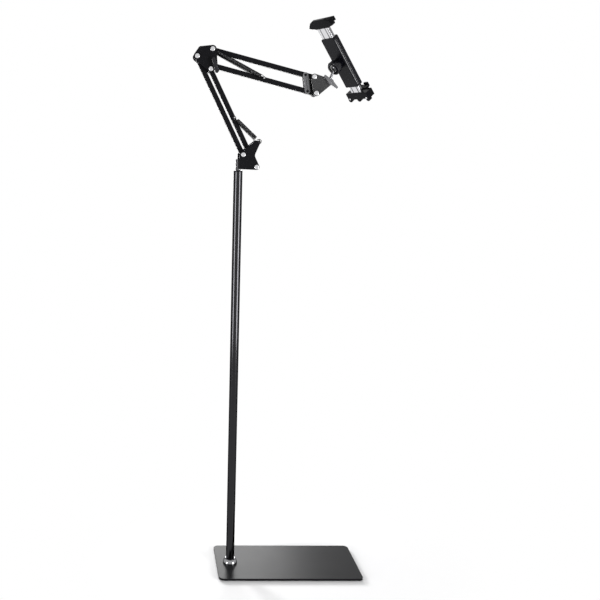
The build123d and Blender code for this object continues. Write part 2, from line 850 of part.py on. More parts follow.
def ball_socket():
    """Round boss on the holder's back, hollowed for the seat and slit for clamping."""
    boss = Pos(0, 0, -holder_standoff) * Cylinder(
        socket_outer, holder_standoff + socket_mouth_height, align=(Align.CENTER, Align.CENTER, Align.MIN))
    boss = boss - Sphere(socket_inner)
    for turn in range(socket_slits):
        slit = Box(
            2 * socket_outer, socket_slit_width, socket_outer,
            align=(Align.MIN, Align.CENTER, Align.MIN))
        boss = boss - Rot(0, 0, 360 / socket_slits * (turn + 1 / 2)) * slit
    return boss


def lock_ring():
    """Knurled ring round the socket with an inward lip at its mouth."""
    inner = socket_outer + ring_gap
    outer = inner + ring_wall
    lip_low = socket_mouth_height + seat_gap
    top = lip_low + ring_lip
    ring = turned([
        (inner, top - ring_height),
        (outer, top - ring_height),
        (outer, top - ring_lip),
        (outer - ring_lip, top),
        (seat_outer, top),
        (seat_outer, lip_low),
        (inner, lip_low),
    ])
    groove = Cylinder(ring_grip_radius, 2 * ring_height)
    for k in range(ring_grips):
        place = Pos(outer + ring_grip_radius / 2, 0, top - ring_height)
        ring = ring - Rot(0, 0, 360 / ring_grips * k) * place * groove
    return ring


# Holder, in the same coordinates: +X towards the lower jaw, the tablet on the side of -Z

holder_back = -holder_standoff
holder_front = holder_back - holder_depth
housing_low = holder_shift - holder_length / 2
housing_high = holder_shift + holder_length / 2
rail_top = holder_back - holder_wall - rail_gap
rail_bottom = rail_top - rail_depth
upper_edge = housing_low - upper_show
lower_edge = housing_high + lower_show


def block(x_low, x_high, y_low, y_high, z_low, z_high):
    """Box between two places on each axis."""
    size = (x_high - x_low, y_high - y_low, z_high - z_low)
    return Pos(x_low, y_low, z_low) * Box(*size, align=(Align.MIN, Align.MIN, Align.MIN))


def holder_housing():
    """Shell of the holder, open to the front, with a slot for a rail in each end."""
    half = holder_width / 2
    outer = block(housing_low, housing_high, -half, half, holder_front, holder_back)
    outer = fillet(outer.edges().filter_by(Axis.Z), holder_corner)
    outer = chamfer(outer.faces().sort_by(Axis.Z)[-1].edges(), holder_wall / 3)
    room = holder_wall
    inside = block(
        housing_low + room, housing_high - room, -half + room, half - room,
        holder_front - cut_over, holder_back - holder_wall)
    rim = holder_wall - cover_inset
    recess = block(
        housing_low + rim, housing_high - rim, -half + rim, half - rim,
        holder_front - cut_over, holder_front + cover_depth)
    slot_half = rail_width / 2 + rail_gap
    left = block(
        housing_low - cut_over, housing_low + 2 * holder_wall, -slot_half, slot_half,
        rail_bottom - rail_gap, holder_back - holder_wall)
    inner_half = slot_half - rail_sheet - rail_gap
    right = block(
        housing_high - 2 * holder_wall, housing_high + cut_over, -inner_half, inner_half,
        rail_bottom - rail_gap, rail_top - rail_sheet)
    return outer - inside - recess - left - right


def holder_cover():
    """Front plate that snaps into the shell; two ribs hold the rails up."""
    edge = holder_wall - cover_inset + loose_gap
    half = holder_width / 2 - edge
    low, high = housing_low + edge, housing_high - edge
    plate = block(low, high, -half, half, holder_front, holder_front + cover_depth)
    plate = chamfer(plate.edges().filter_by(Axis.Z), cover_inset / 2)
    rib_half = rail_width / 2
    start, end = housing_low + 2 * holder_wall, housing_high - 2 * holder_wall
    for side in (-1, 1):
        ys = sorted((side * rib_half, side * (rib_half - cover_rib_width)))
        plate = plate + block(start, end, *ys, holder_front + cover_depth, rail_bottom - rail_gap)
    return plate


def channel(x_low, x_high, width, top):
    """Pressed channel, its web at the back and its flanges towards the tablet."""
    half = width / 2
    solid = block(x_low, x_high, -half, half, rail_bottom, top)
    solid = fillet(solid.faces().sort_by(Axis.Z)[-1].edges().filter_by(Axis.X), rail_sheet * 3 / 2)
    inner = half - rail_sheet
    room = block(
        x_low - cut_over, x_high + cut_over, -inner, inner, rail_bottom - cut_over, top - rail_sheet)
    return solid - room


lower_rail_width = rail_width - 2 * rail_sheet - 2 * rail_gap
lower_rail_top = rail_top - rail_sheet - rail_gap
jaw_top = holder_back - jaw_back_gap
mouth_back = holder_front - tablet_stand
mouth_front = mouth_back - tablet_thickness
jaw_low = mouth_front - jaw_lip


def seen_from_side(points, width):
    """Solid of an outline of (X, Z) points, carried across in Y."""
    return extrude(Plane.XZ * make_face(Polyline(*points, close=True)), amount=width / 2, both=True)


def seen_from_end(points, reach):
    """Solid of an outline of (Y, Z) points, carried along in X."""
    return extrude(Plane.YZ * make_face(Polyline(*points, close=True)), amount=reach, both=True)


def mirrored(points):
    """The points, then the same points on the other side, in order round the outline."""
    return [*points, *((-x, z) for x, z in reversed(points))]


def lip_notch():
    """Gap between the two lips of a jaw."""
    half = jaw_wall_width / 2 - jaw_lip_width
    return block(-jaw_lip_reach - cut_over, 0, -half, half, jaw_low - cut_over, mouth_front + cut_over)


def upper_jaw():
    """Moulded jaw: kite-like from behind, hooked from the side, thin towards its ends."""
    side = seen_from_side([
        (-upper_jaw_behind, jaw_top),
        (-upper_jaw_behind, mouth_back),
        (pad_thickness, mouth_back),
        (pad_thickness, mouth_front),
        (-jaw_lip_reach, mouth_front),
        (-jaw_lip_reach, jaw_low),
        (jaw_wall_foot, jaw_low),
        (upper_jaw_out, jaw_top - jaw_pocket),
        (upper_jaw_out, jaw_top),
    ], upper_jaw_width)
    half, wall = upper_jaw_width / 2, jaw_wall_width / 2
    end = seen_from_end(mirrored([
        (half, jaw_top),
        (half, jaw_top - upper_jaw_end_depth),
        (wall, mouth_back),
        (wall, jaw_low),
    ]), upper_jaw_width)
    kite = make_face(Polyline(
        (-upper_jaw_behind, -upper_jaw_middle / 2), (-upper_jaw_behind_end, jaw_edge * 2 - half), (0, -half),
        (upper_jaw_shoulder_out, -upper_jaw_shoulder / 2), (upper_jaw_out, -upper_jaw_middle / 2),
        (upper_jaw_out, upper_jaw_middle / 2), (upper_jaw_shoulder_out, upper_jaw_shoulder / 2), (0, half),
        (-upper_jaw_behind_end, half - jaw_edge * 2), (-upper_jaw_behind, upper_jaw_middle / 2), close=True))
    back = Pos(0, 0, jaw_low) * extrude(kite, amount=jaw_top - jaw_low)
    back = chamfer(back.faces().sort_by(Axis.Z)[-1].edges(), jaw_edge)
    pocket_half = rail_width / 2 + loose_gap
    pocket = block(-upper_jaw_behind - cut_over, jaw_pocket + loose_gap, -pocket_half, pocket_half,
                   rail_bottom - loose_gap, rail_top + loose_gap)
    return (side & end & back) - pocket - lip_notch()


def lower_jaw():
    """Moulded jaw with a straight back block, three round lugs, a wall and two lips."""
    half, wall = lower_jaw_width / 2, jaw_wall_width / 2
    back_low = jaw_top - lower_jaw_depth
    back = block(lower_jaw_in, lower_jaw_out, -half, half, back_low, jaw_top)
    back = chamfer(back.faces().sort_by(Axis.Z)[-1].edges(), jaw_edge)
    for spot in (-lug_spacing, 0, lug_spacing):
        lug = Pos(lower_jaw_out + lug_radius / 6, spot, jaw_top - lug_height) * Cylinder(
            lug_radius, lug_height, align=(Align.CENTER, Align.CENTER, Align.MIN))
        back = back + chamfer(lug.faces().sort_by(Axis.Z)[-1].edges(), jaw_edge / 2)
    front = seen_from_side([
        (lower_jaw_in, back_low + cut_over),
        (lower_jaw_in, mouth_back),
        (pad_thickness, mouth_back),
        (pad_thickness, mouth_front),
        (-jaw_lip_reach, mouth_front),
        (-jaw_lip_reach, jaw_low),
        (jaw_wall_foot, jaw_low),
        (lower_wall_out, back_low),
        (lower_wall_out, back_low + cut_over),
    ], jaw_wall_width)
    pocket_half = lower_rail_width / 2 + loose_gap
    pocket = block(lower_jaw_in - cut_over, jaw_pocket + lower_jaw_in + loose_gap, -pocket_half, pocket_half,
                   rail_bottom - loose_gap, lower_rail_top + loose_gap)
    bores = [
        Pos(jaw_screw_out, side * jaw_screw_spacing, jaw_top) * Cylinder(
            jaw_screw_radius + running_gap, 2 * (jaw_screw_length + jaw_screw_radius))
        for side in (-1, 1)
    ]
    return back + front - lip_notch() - pocket - bores[0] - bores[1]


def jaw_screws():
    """The two bright pan-head screws in the lower jaw's back."""
    made = []
    for side in (-1, 1):
        place = Pos(jaw_screw_out, side * jaw_screw_spacing, jaw_top)
        head = place * Cylinder(
            jaw_screw_head_radius, jaw_screw_head_height, align=(Align.CENTER, Align.CENTER, Align.MIN))
        head = fillet(head.faces().sort_by(Axis.Z)[-1].edges(), jaw_screw_head_height * bolt_dome_share)
        shank = place * Cylinder(
            jaw_screw_radius, jaw_screw_length, align=(Align.CENTER, Align.CENTER, Align.MAX))
        made.append(head + shank)
    return made


def jaw_pad():
    """Soft pad on a jaw's wall, between its back and its lips."""
    half = jaw_wall_width / 2 - pad_inset
    return block(0, pad_thickness, -half, half, mouth_front + loose_gap, mouth_back - loose_gap)


# Write the swivelling bracket and the lower arm

bolts_b = (pivot_b1, pivot_b2)
save("swivel_pin", swivel_pin())
save("pin_rivets", pin_rivets())
save("base_bracket", base_bracket())
save("spring_anchors", spring_anchors())
save("bracket_bolts", [pivot_bolt(place) for place in bolts_b])
save("bracket_nuts", [pivot_nut(place) for place in bolts_b])
save("bracket_sleeves", [ring for place in bolts_b for ring in sleeves(place)])
save("lower_left_bar", bar(pivot_b1, pivot_p1))
save("lower_right_bar", bar(pivot_b2, pivot_p3, [(lower_pin, spring_pin_radius + running_gap)]))
save("lower_spring_pin", spring_pin(lower_pin))
for name, side in (("near", -1), ("far", 1)):
    spring = arm_spring(
        f"lower_spring_{name}", anchor, lower_pin, peg_hook, pin_hook, lower_spring_curls, side * spring_y)
    save(f"lower_spring_{name}", spring)

# Write the elbow and the upper arm

bolts_p = (pivot_p1, pivot_p2, pivot_p3)
near_plate, far_plate = elbow_plates()
save("elbow_near_plate", near_plate)
save("elbow_far_plate", far_plate)
save("elbow_bolts", [pivot_bolt(place) for place in bolts_p])
save("elbow_nuts", [pivot_nut(place) for place in bolts_p])
save("elbow_sleeves", [ring for place in (*bolts_p, pivot_p4) for ring in sleeves(place)])
save("elbow_clamp_bolt", clamp_bolt())
save("elbow_knob", elbow_knob())
link_hole = rivet_radius + running_gap
save("upper_top_bar", bar(pivot_p2, pivot_f1, [(pivot_l1, link_hole)]))
save("upper_bottom_bar", bar(
    pivot_p4, pivot_f2, [(pivot_l2, link_hole), (upper_pin, spring_pin_radius + running_gap)]))
save("upper_spring_pin", spring_pin(upper_pin))
for name, side in (("near", -1), ("far", 1)):
    spring = arm_spring(
        f"upper_spring_{name}", pivot_p2, upper_pin, sleeve_hook, pin_hook, upper_spring_curls, side * spring_y)
    save(f"upper_spring_{name}", spring)

# Write the front bracket and the stem

bolts_f = (pivot_f1, pivot_f2)
save("front_links", front_links())
save("link_rivets", [link_rivet(place) for place in (pivot_l1, pivot_l2)])
save("front_bracket", front_bracket())
save("front_bolts", [pivot_bolt(place) for place in bolts_f])
save("front_nuts", [pivot_nut(place) for place in (*bolts_f, nose)])
save("front_sleeves", [ring for place in (*bolts_f, nose) for ring in sleeves(place)])
save("wing_bolt", wing_bolt())
save("stem", stem())

# Write the ball joint and the holder

hold = holder_plane.location
upper_place = Pos(upper_edge, 0, 0) * Rot(0, 0, 180)
lower_place = Pos(lower_edge, 0, 0)
upper_rail_out = upper_edge - jaw_pocket
lower_rail_out = lower_edge + lower_jaw_in + jaw_pocket
save("ball_pad", ball_pad())
save("ball_seat", hold * ball_seat())
save("ball_socket", hold * ball_socket())
save("lock_ring", hold * lock_ring())
save("holder_housing", hold * holder_housing())
save("holder_cover", hold * holder_cover())
save("upper_rail", hold * channel(upper_rail_out, housing_low + upper_rail_inside, rail_width, rail_top))
save("lower_rail", hold * channel(
    housing_high - lower_rail_inside, lower_rail_out, lower_rail_width, lower_rail_top))
save("upper_jaw", hold * upper_place * upper_jaw())
save("lower_jaw", hold * lower_place * lower_jaw())
save("upper_jaw_pad", hold * upper_place * jaw_pad())
save("lower_jaw_pad", hold * lower_place * jaw_pad())
save("lower_jaw_screws", [hold * lower_place * screw for screw in jaw_screws()])
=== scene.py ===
# %% [markdown]
# # Adjustable floor stand with a sprung arm
# The packed CAD model is the frame: it holds every rigid piece at its true size. This lesson
# dresses it with a camera, paints and metals, wound springs, moulded lines and a soft studio
# light. Lengths are metres in the frame's own axes: the floor is Z = 0, the pole's axis is Z,
# and both arms work in the plane Y = 0.

# %% Load the frame
import math
import bpy
import numpy as np
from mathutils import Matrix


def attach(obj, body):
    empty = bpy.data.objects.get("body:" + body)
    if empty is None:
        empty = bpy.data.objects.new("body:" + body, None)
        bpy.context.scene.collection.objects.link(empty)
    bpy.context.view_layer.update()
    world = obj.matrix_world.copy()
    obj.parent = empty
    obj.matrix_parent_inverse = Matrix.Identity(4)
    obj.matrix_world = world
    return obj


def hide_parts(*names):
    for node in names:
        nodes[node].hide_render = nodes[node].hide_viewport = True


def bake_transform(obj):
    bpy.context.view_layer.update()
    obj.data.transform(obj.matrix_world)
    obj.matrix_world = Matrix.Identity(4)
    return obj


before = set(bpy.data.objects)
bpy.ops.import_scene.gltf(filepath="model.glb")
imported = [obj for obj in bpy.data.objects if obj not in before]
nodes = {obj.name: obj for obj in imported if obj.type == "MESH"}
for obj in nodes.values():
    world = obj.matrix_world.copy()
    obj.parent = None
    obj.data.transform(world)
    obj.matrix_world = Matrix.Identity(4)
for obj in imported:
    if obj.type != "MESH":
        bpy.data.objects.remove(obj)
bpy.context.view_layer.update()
scene = bpy.context.scene
MM = 0.001

# %% [markdown]
# The camera stands where the photograph was taken from. It could be placed by eye, but a fit of
# the plate's corners, the pole's line and the arms' pivots gives its place, tilt and lens in one
# go. The sideways shift puts the stand left of the middle without turning the camera, so the
# pole keeps its lean.

# %% Camera
IMAGE_PX = 600
FOCAL_PX = 836.4
CENTRE_PX = 143.185      # the column of the picture that the lens points at
PITCH_DOWN = 0.1756
ROLL = -0.0013
CAMERA_PLACE = (-0.2348, -2.0928, 1.0951)

lens = bpy.data.cameras.new("photo_camera")
lens.sensor_width = 36.0
lens.lens = FOCAL_PX * lens.sensor_width / IMAGE_PX
lens.shift_x = (IMAGE_PX / 2 - CENTRE_PX) / IMAGE_PX
camera = bpy.data.objects.new("photo_camera", lens)
camera.location = CAMERA_PLACE
camera.rotation_euler = (math.pi / 2 - PITCH_DOWN, ROLL, 0)
scene.collection.objects.link(camera)
scene.camera = camera
scene.view_settings.view_transform = "Standard"
print("lens", round(lens.lens, 2), "shift", round(lens.shift_x, 4))

# %% [markdown]
# The springs hook on bolts and pins, so the scene needs those places. They are worked out from
# the same sizes as the CAD, pivot by pivot, and not read off a mesh. All are in millimetres.

# %% Places on the arms
LOWER_LEAN, UPPER_LEAN = 116.3, -14.7     # the bars' angles from +X, in degrees


def polar(length, angle):
    """A run in X and a rise in Z: length times (cos angle, 0, sin angle)."""
    turn = math.radians(angle)
    return np.array([length * math.cos(turn), 0, length * math.sin(turn)])


bracket_left_bolt = np.array([10.0, 0, 1088.0])
bracket_right_bolt = bracket_left_bolt + polar(44.5, -42.0)
elbow_left_bolt = bracket_left_bolt + polar(260.0, LOWER_LEAN)
elbow_top_bolt = elbow_left_bolt + np.array([36.5, 0, 16.3])
elbow_low_bolt = elbow_top_bolt + polar(38.8, -81.1)
front_top_bolt = elbow_top_bolt + polar(254.0, UPPER_LEAN)
bracket_peg = np.array([48.0, 0, 1118.5])
lower_pin = bracket_right_bolt + polar(131.0, LOWER_LEAN) + polar(2.8, 26.3)
upper_pin = elbow_low_bolt + polar(123.0, UPPER_LEAN) + polar(2.8, 75.3)
print("lower pin", np.round(lower_pin, 1), "upper pin", np.round(upper_pin, 1))

# %% [markdown]
# The holder leans and turns on its ball, so its details are drawn in its own directions:
# `along` towards the lower jaw, `across` its width, and `back` towards the stem.

# %% The holder's directions
HOLDER_BEARING, HOLDER_SLOPE = math.radians(207.9), math.radians(-38.0)
ball = front_top_bolt + np.array([38.9, 0, -12.0]) + polar(37.8, 69.9)
back = np.array([math.cos(HOLDER_SLOPE) * math.cos(HOLDER_BEARING),
                 math.cos(HOLDER_SLOPE) * math.sin(HOLDER_BEARING),
                 math.sin(HOLDER_SLOPE)])
across = np.array([-math.sin(HOLDER_BEARING), math.cos(HOLDER_BEARING), 0.0])
along = np.cross(across, back)
print("ball at", np.round(ball, 1), "along", np.round(along, 3))

# %% [markdown]
# A finish is a small program of nodes. Placing nodes by hand hides the sum that they make, so
# one class wraps a socket and lets Python's own + - * / add the Math nodes, from either side.
# Every other kind of node comes from its `node` method.

# %% Shader maths
class Sock:
    """One output socket of a shader node, ready for sums with other sockets and numbers."""
    def __init__(self, socket):
        self.socket = socket

    @staticmethod
    def fill(node, values):
        """Gives a node's sockets their values, or links them to wrapped sockets."""
        for key, item in values.items():
            if isinstance(item, Sock):
                node.id_data.links.new(item.socket, node.inputs[key])
            else:
                node.inputs[key].default_value = item
        return node

    @staticmethod
    def node(tree, kind, settings, values):
        """A new node of a kind: first its settings, then its sockets' values or links."""
        made = tree.nodes.new(kind)
        for key, item in settings.items():
            setattr(made, key, item)
        return Sock.fill(made, values)

    def maths(self, operation, *numbers):
        """A Math node over sockets and plain numbers, in the order given."""
        made = Sock.node(self.socket.id_data, "ShaderNodeMath",
                         {"operation": operation}, dict(enumerate(numbers)))
        return Sock(made.outputs[0])

    def __add__(self, other): return self.maths("ADD", self, other)
    def __radd__(self, other): return self.maths("ADD", other, self)
    def __sub__(self, other): return self.maths("SUBTRACT", self, other)
    def __rsub__(self, other): return self.maths("SUBTRACT", other, self)
    def __mul__(self, other): return self.maths("MULTIPLY", self, other)
    def __rmul__(self, other): return self.maths("MULTIPLY", other, self)
    def __truediv__(self, other): return self.maths("DIVIDE", self, other)
    def __rtruediv__(self, other): return self.maths("DIVIDE", other, self)
    def __abs__(self): return self.maths("ABSOLUTE", self)

    def highest(self, other): return self.maths("MAXIMUM", self, other)
    def lowest(self, other): return self.maths("MINIMUM", self, other)
    def root(self): return self.maths("SQRT", self)

    def ramp(self, low, high):
        """0 below low, 1 above high, and a straight line between."""
        return ((self - low) / (high - low)).highest(0.0).lowest(1.0)


print("operators", [name for name in vars(Sock) if name.startswith("__r")])

# %% [markdown]
# Patterns are placed by object coordinates. Every piece's object sits at the origin, so these
# are metres in the frame, and the pattern rides with its piece when a joint moves.

# %% Pattern helpers
def place(tree):
    """Object coordinates as one wrapped vector."""
    return Sock(Sock.node(tree, "ShaderNodeTexCoord", {}, {}).outputs["Object"])


def axes(tree):
    """Object coordinates as three wrapped numbers, in metres."""
    split = Sock.node(tree, "ShaderNodeSeparateXYZ", {}, {0: place(tree)})
    return [Sock(output) for output in split.outputs]


def noise(tree, per_metre, detail=2.0):
    """Soft noise about 0.5 with that many lumps in a metre."""
    made = Sock.node(tree, "ShaderNodeTexNoise", {},
                     {"Vector": place(tree), "Scale": per_metre, "Detail": detail})
    return Sock(made.outputs["Fac"])


def between(tree, share, first, second):
    """The first colour at share 0, the second at share 1."""
    made = Sock.node(tree, "ShaderNodeMix", {"data_type": "RGBA"},
                     {"Factor": share, "A": (*first, 1), "B": (*second, 1)})
    return Sock(made.outputs["Result"])


def relief(tree, height, depth):
    """The normal over a height that goes from 0 to 1 and is depth metres deep."""
    made = Sock.node(tree, "ShaderNodeBump", {},
                     {"Height": height, "Distance": depth, "Strength": 1.0})
    return Sock(made.outputs[0])


print("helpers: place, axes, noise, between, relief")

# %% [markdown]
# One recipe serves most surfaces: two tones mixed by a soft noise, a roughness that wanders by
# a little, and a fine grain in the normal. Real coats are never one flat tone, and the wander is
# what the eye takes for handling and wear. `shine` is the specular level, and `edge` is how much
# of a metal's reflection is left where it turns away.

# %% The recipe
TONE_PER_METRE = 14.0


def finish(name, dark, light, rough, wander, grain, depth, metal=0.0, shine=0.5, edge=1.0):
    """Tone = dark to light by noise, roughness = rough + wander (noise - 1/2), grain per metre
    with its depth in metres."""
    mat = bpy.data.materials.new(name)
    mat.use_nodes = True
    tree = mat.node_tree
    soft = noise(tree, TONE_PER_METRE)
    values = {
        "Metallic": metal,
        "Specular IOR Level": shine,
        "Specular Tint": (edge, edge, edge, 1),
        "Base Color": between(tree, soft, dark, light),
        "Roughness": soft * wander + (rough - wander / 2),
    }
    if depth:
        values["Normal"] = relief(tree, noise(tree, grain, 3.0), depth)
    Sock.fill(tree.nodes["Principled BSDF"], values)
    return mat


def grey(level, blue=0.0):
    """A grey with that much added to its blue: cold above zero, warm below."""
    return (level, level, level + blue)


print("tone lumps per metre", TONE_PER_METRE)

# %% [markdown]
# The bars, plates and bracket are powder coated: matt black with a faint orange peel. The plate
# of the base is smoother. The front bracket's coat is painted a lighter grey, painted light that
# stands in for the light its face catches. The pole is a gloss enamel, which is nearly a black
# mirror, so it is made as a dark metal that shows the two tall lights as clean stripes.

# %% Paints
powder = finish("black_powder_coat", grey(0.003, 0.001), grey(0.005, 0.001),
                0.38, 0.08, 1500, 0.00003, shine=0.07)
plate_coat = finish("plate_powder_coat", grey(0.004, 0.001), grey(0.006, 0.001),
                    0.30, 0.05, 1500, 0.00001, shine=0.10)
# The front bracket's lighter grey is painted light: a lit copy of the powder coat.
lit_bracket_coat = finish("painted_light_powder_coat", grey(0.016, 0.001), grey(0.045, 0.001),
                      0.30, 0.08, 1500, 0.00001, shine=0.25)
enamel = finish("gloss_black_enamel", grey(0.026, 0.002), grey(0.034, 0.002),
                0.13, 0.03, 30, 0, metal=1.0, edge=0.0)
print("paints 4")

# %% [markdown]
# Each metal differs by how dark it is and how sharply it mirrors: chrome on the foot collar,
# bright zinc on bolts, drawn and oiled steel on the pin and the springs, satin steel on the
# short links. Round metals that stand before a white background lose their edges to it, so
# their grazing reflection is taken away with `edge`.

# %% Metals
chrome = finish("chrome_plate", grey(0.24, 0.01), grey(0.34, 0.01),
                0.10, 0.04, 90, 0.00001, metal=1.0, edge=0.0)
plated = finish("plated_stem_steel", grey(0.10, 0.005), grey(0.16, 0.005),
                0.14, 0.04, 90, 0.00001, metal=1.0, edge=0.0)
pin_steel = finish("drawn_steel_pin", grey(0.022, 0.002), grey(0.036, 0.002),
                   0.16, 0.05, 90, 0, metal=1.0, edge=0.0)
wire_steel = finish("spring_wire_steel", grey(0.030, 0.002), grey(0.050, 0.002),
                    0.24, 0.08, 900, 0, metal=1.0, edge=0.0)
zinc = finish("bright_zinc", grey(0.52, 0.01), grey(0.66, 0.01),
              0.27, 0.10, 700, 0.00001, metal=1.0)
plain_steel = finish("plain_steel", grey(0.25, 0.01), grey(0.40, 0.01),
                     0.38, 0.12, 600, 0.00004, metal=1.0)
satin_steel = finish("satin_grey_steel", grey(0.10, 0.005), grey(0.16, 0.005),
                     0.42, 0.10, 700, 0.00002, metal=0.9)
print("metals 7")

# %% [markdown]
# The holder is a black moulding with a fine spark texture, its jaws are darker and glossy, and
# the knob, socket and ring are polished. The wing bolt's grip is a grey moulding. Sleeves and
# seats are natural nylon, and the pads and the mat are matt rubber with a coarse skin.

# %% Plastics and rubber
moulding = finish("black_moulding", grey(0.002, 0.002), grey(0.004, 0.002),
                  0.30, 0.08, 2600, 0.00002, shine=0.12)
polished = finish("polished_black_moulding", grey(0.002, 0.002), grey(0.004, 0.002),
                  0.20, 0.06, 2600, 0.00001, shine=0.35)
jaw_gloss = finish("dark_gloss_moulding", grey(0.001, 0.001), grey(0.003, 0.001),
                   0.16, 0.06, 2600, 0.00001, shine=0.07)
# The light grey of the holder's lines is a painted highlight along the ridge.
highlight_line_coat = finish("painted_highlight_moulding", grey(0.06, 0.003), grey(0.09, 0.003),
                   0.34, 0.04, 200, 0)
grey_wing = finish("grey_moulded_wing", grey(0.085, 0.005), grey(0.13, 0.005),
                   0.24, 0.08, 900, 0.00002)
nylon = finish("natural_nylon", grey(0.50, -0.02), grey(0.62, -0.02),
               0.50, 0.10, 1200, 0.00003)
rubber = finish("black_rubber", grey(0.010), grey(0.022),
                0.80, 0.12, 900, 0.00012)
print("materials", len(bpy.data.materials))

# %% [markdown]
# The chromed rails carry two long pressed grooves and folded edges. They could be cut into the
# mesh, but at their depth only the reflection tells: a height in the normal breaks it into
# bright and dark stripes, and a darker tone stands for the shade in the groove and the fold.
# The pattern is drawn in the rails' own cross direction.

# %% Rail chrome
GROOVE_PLACE, GROOVE_HALF, GROOVE_WALL = 0.009, 0.0006, 0.0018
FOLD_START, FOLD_END = 0.0160, 0.0172
FOLD_SHADE = 0.8
GROOVE_DEPTH = 0.0008


def rail_chrome():
    """Distance from the rail's middle = |x a + y b - c|; dark near the groove and past the fold."""
    mat = finish("grooved_chrome", grey(0.55, 0.02), grey(0.74, 0.02),
                 0.14, 0.05, 90, 0.00002, metal=1.0)
    tree = mat.node_tree
    x, y, _ = axes(tree)
    middle = float(np.dot(ball, across)) * MM
    off_middle = abs(x * float(across[0]) + y * float(across[1]) - middle)
    flat = abs(off_middle - GROOVE_PLACE).ramp(GROOVE_HALF, GROOVE_WALL)
    fold = off_middle.ramp(FOLD_START, FOLD_END)
    tone = between(tree, flat * (1.0 - FOLD_SHADE * fold), (0.10, 0.10, 0.105), (0.72, 0.72, 0.74))
    Sock.fill(tree.nodes["Principled BSDF"],
              {"Base Color": tone, "Normal": relief(tree, flat, GROOVE_DEPTH)})
    return mat


grooved = rail_chrome()
print("grooves at", GROOVE_PLACE / MM, "mm from the rail's middle")

# %% [markdown]
# Every CAD node gets the finish of its real piece. The list reads as a parts list by finish, so
# a change of coat is a change of one line.

# %% Give every node its finish
FINISHES = {
    powder: "base_bracket elbow_near_plate elbow_far_plate "
            "lower_left_bar lower_right_bar upper_top_bar upper_bottom_bar link_rivets",
    plate_coat: "base_plate",
    lit_bracket_coat: "front_bracket",
    enamel: "pole_lower_tube pole_upper_tube",
    chrome: "foot_collar",
    plated: "stem",
    pin_steel: "swivel_pin",
    wire_steel: "spring_anchors lower_spring_near lower_spring_far "
                "upper_spring_near upper_spring_far",
    zinc: "bracket_bolts bracket_nuts elbow_bolts elbow_nuts front_bolts front_nuts pin_rivets "
          "lower_jaw_screws elbow_clamp_bolt lower_spring_pin upper_spring_pin",
    plain_steel: "foot_stud foot_plug pole_joint_socket pole_joint_plug",
    satin_steel: "front_links",
    grooved: "upper_rail lower_rail",
    moulding: "holder_housing holder_cover pole_bush",
    jaw_gloss: "upper_jaw lower_jaw",
    polished: "ball_socket lock_ring elbow_knob",
    grey_wing: "wing_bolt",
    nylon: "bracket_sleeves elbow_sleeves front_sleeves ball_pad ball_seat",
    rubber: "base_mat upper_jaw_pad lower_jaw_pad",
}
for mat, names in FINISHES.items():
    for name in names.split():
        slots = nodes[name].material_slots
        for slot in slots:
            slot.material = mat
        if not slots:
            nodes[name].data.materials.append(mat)
print("nodes with a finish", sum(len(names.split()) for names in FINISHES.values()))

# %% [markdown]
# Pressed sheet, moulded plastic and turned metal have no knife edges. The CAD keeps sharp ones
# where they are small, so a Bevel rounds them by the width that the real piece has. A CAD mesh
# is loose triangles, and a Weld joins them first, because a bevel needs faces that share edges.

# %% Soften the edges
ROUND_MM = {
    0.25: "base_bracket elbow_near_plate elbow_far_plate front_bracket front_links pole_bush",
    0.5: "holder_housing holder_cover elbow_knob lock_ring ball_socket wing_bolt",
    0.9: "upper_jaw lower_jaw",
}
JOIN_WITHIN = 0.00001
SHARP_DEGREES = 40
for width, names in ROUND_MM.items():
    for name in names.split():
        weld = nodes[name].modifiers.new("join_faces", "WELD")
        weld.merge_threshold = JOIN_WITHIN
        bevel = nodes[name].modifiers.new("soft_edges", "BEVEL")
        bevel.width = width * MM
        bevel.segments = 2
        bevel.limit_method = "ANGLE"
        bevel.angle_limit = math.radians(SHARP_DEGREES)
        bevel.harden_normals = True
print("bevelled nodes", sum(len(names.split()) for names in ROUND_MM.values()))

# %% [markdown]
# The new pieces are tubes: rings of points one after another. `closed_tube` turns such a grid
# into a mesh at once, with quads between the rings and one cap at each end, so that the piece is
# closed and its faces point outwards.

# %% Grid to mesh
def closed_tube(name, rings, mat):
    """Quads join rings[i, j], rings[i, j+1], rings[i+1, j+1] and rings[i+1, j]; j wraps round."""
    count, around, _ = rings.shape
    index = np.arange(count * around).reshape(count, around)
    wrapped = np.concatenate([index, index[:, :1]], 1)
    quads = np.stack([wrapped[:-1, :-1], wrapped[:-1, 1:],
                      wrapped[1:, 1:], wrapped[1:, :-1]], -1).reshape(-1, 4)
    caps = [index[0][::-1].tolist(), index[-1].tolist()]
    mesh = bpy.data.meshes.new(name)
    mesh.from_pydata(rings.reshape(-1, 3).tolist(), [], quads.tolist() + caps)
    mesh.polygons.foreach_set("use_smooth", np.ones(len(mesh.polygons), bool))
    mesh.materials.append(mat)
    obj = bpy.data.objects.new(name, mesh)
    scene.collection.objects.link(obj)
    return obj


print("faces of a tube with 3 rings of 8:", 2 * 8 + 2)

# %% [markdown]
# Four tension springs hold the arms up. Each is one wire: a wide eye on a bolt or peg, a lead
# into the coil, close turns, a lead out and a small eye on the bar's pin. A texture of stripes
# would be flat from the side, so the wire itself is drawn, first as a centre line.

# %% The wire's centre line
COIL_RADIUS = 5.0            # outside of the coil, in millimetres
COIL_ROOM = 0.1              # left between the drawn coil and that radius
EYE_POINTS, LEAD_POINTS, TURN_POINTS = 40, 14, 18
TURN_GAP = 1.22              # pitch of the turns as a share of the wire
LEAD_LENGTH = 1.6            # as a share of the coil's radius
WIDE_EYE_ARC, SMALL_EYE_ARC = (-20, -270), (90, -160)     # degrees, each open on one side
COIL_WAY = np.array([0.15, 0, 1.0])     # the way the wire runs where the coil starts and ends
AHEAD = np.array([1.0, 0, 0])


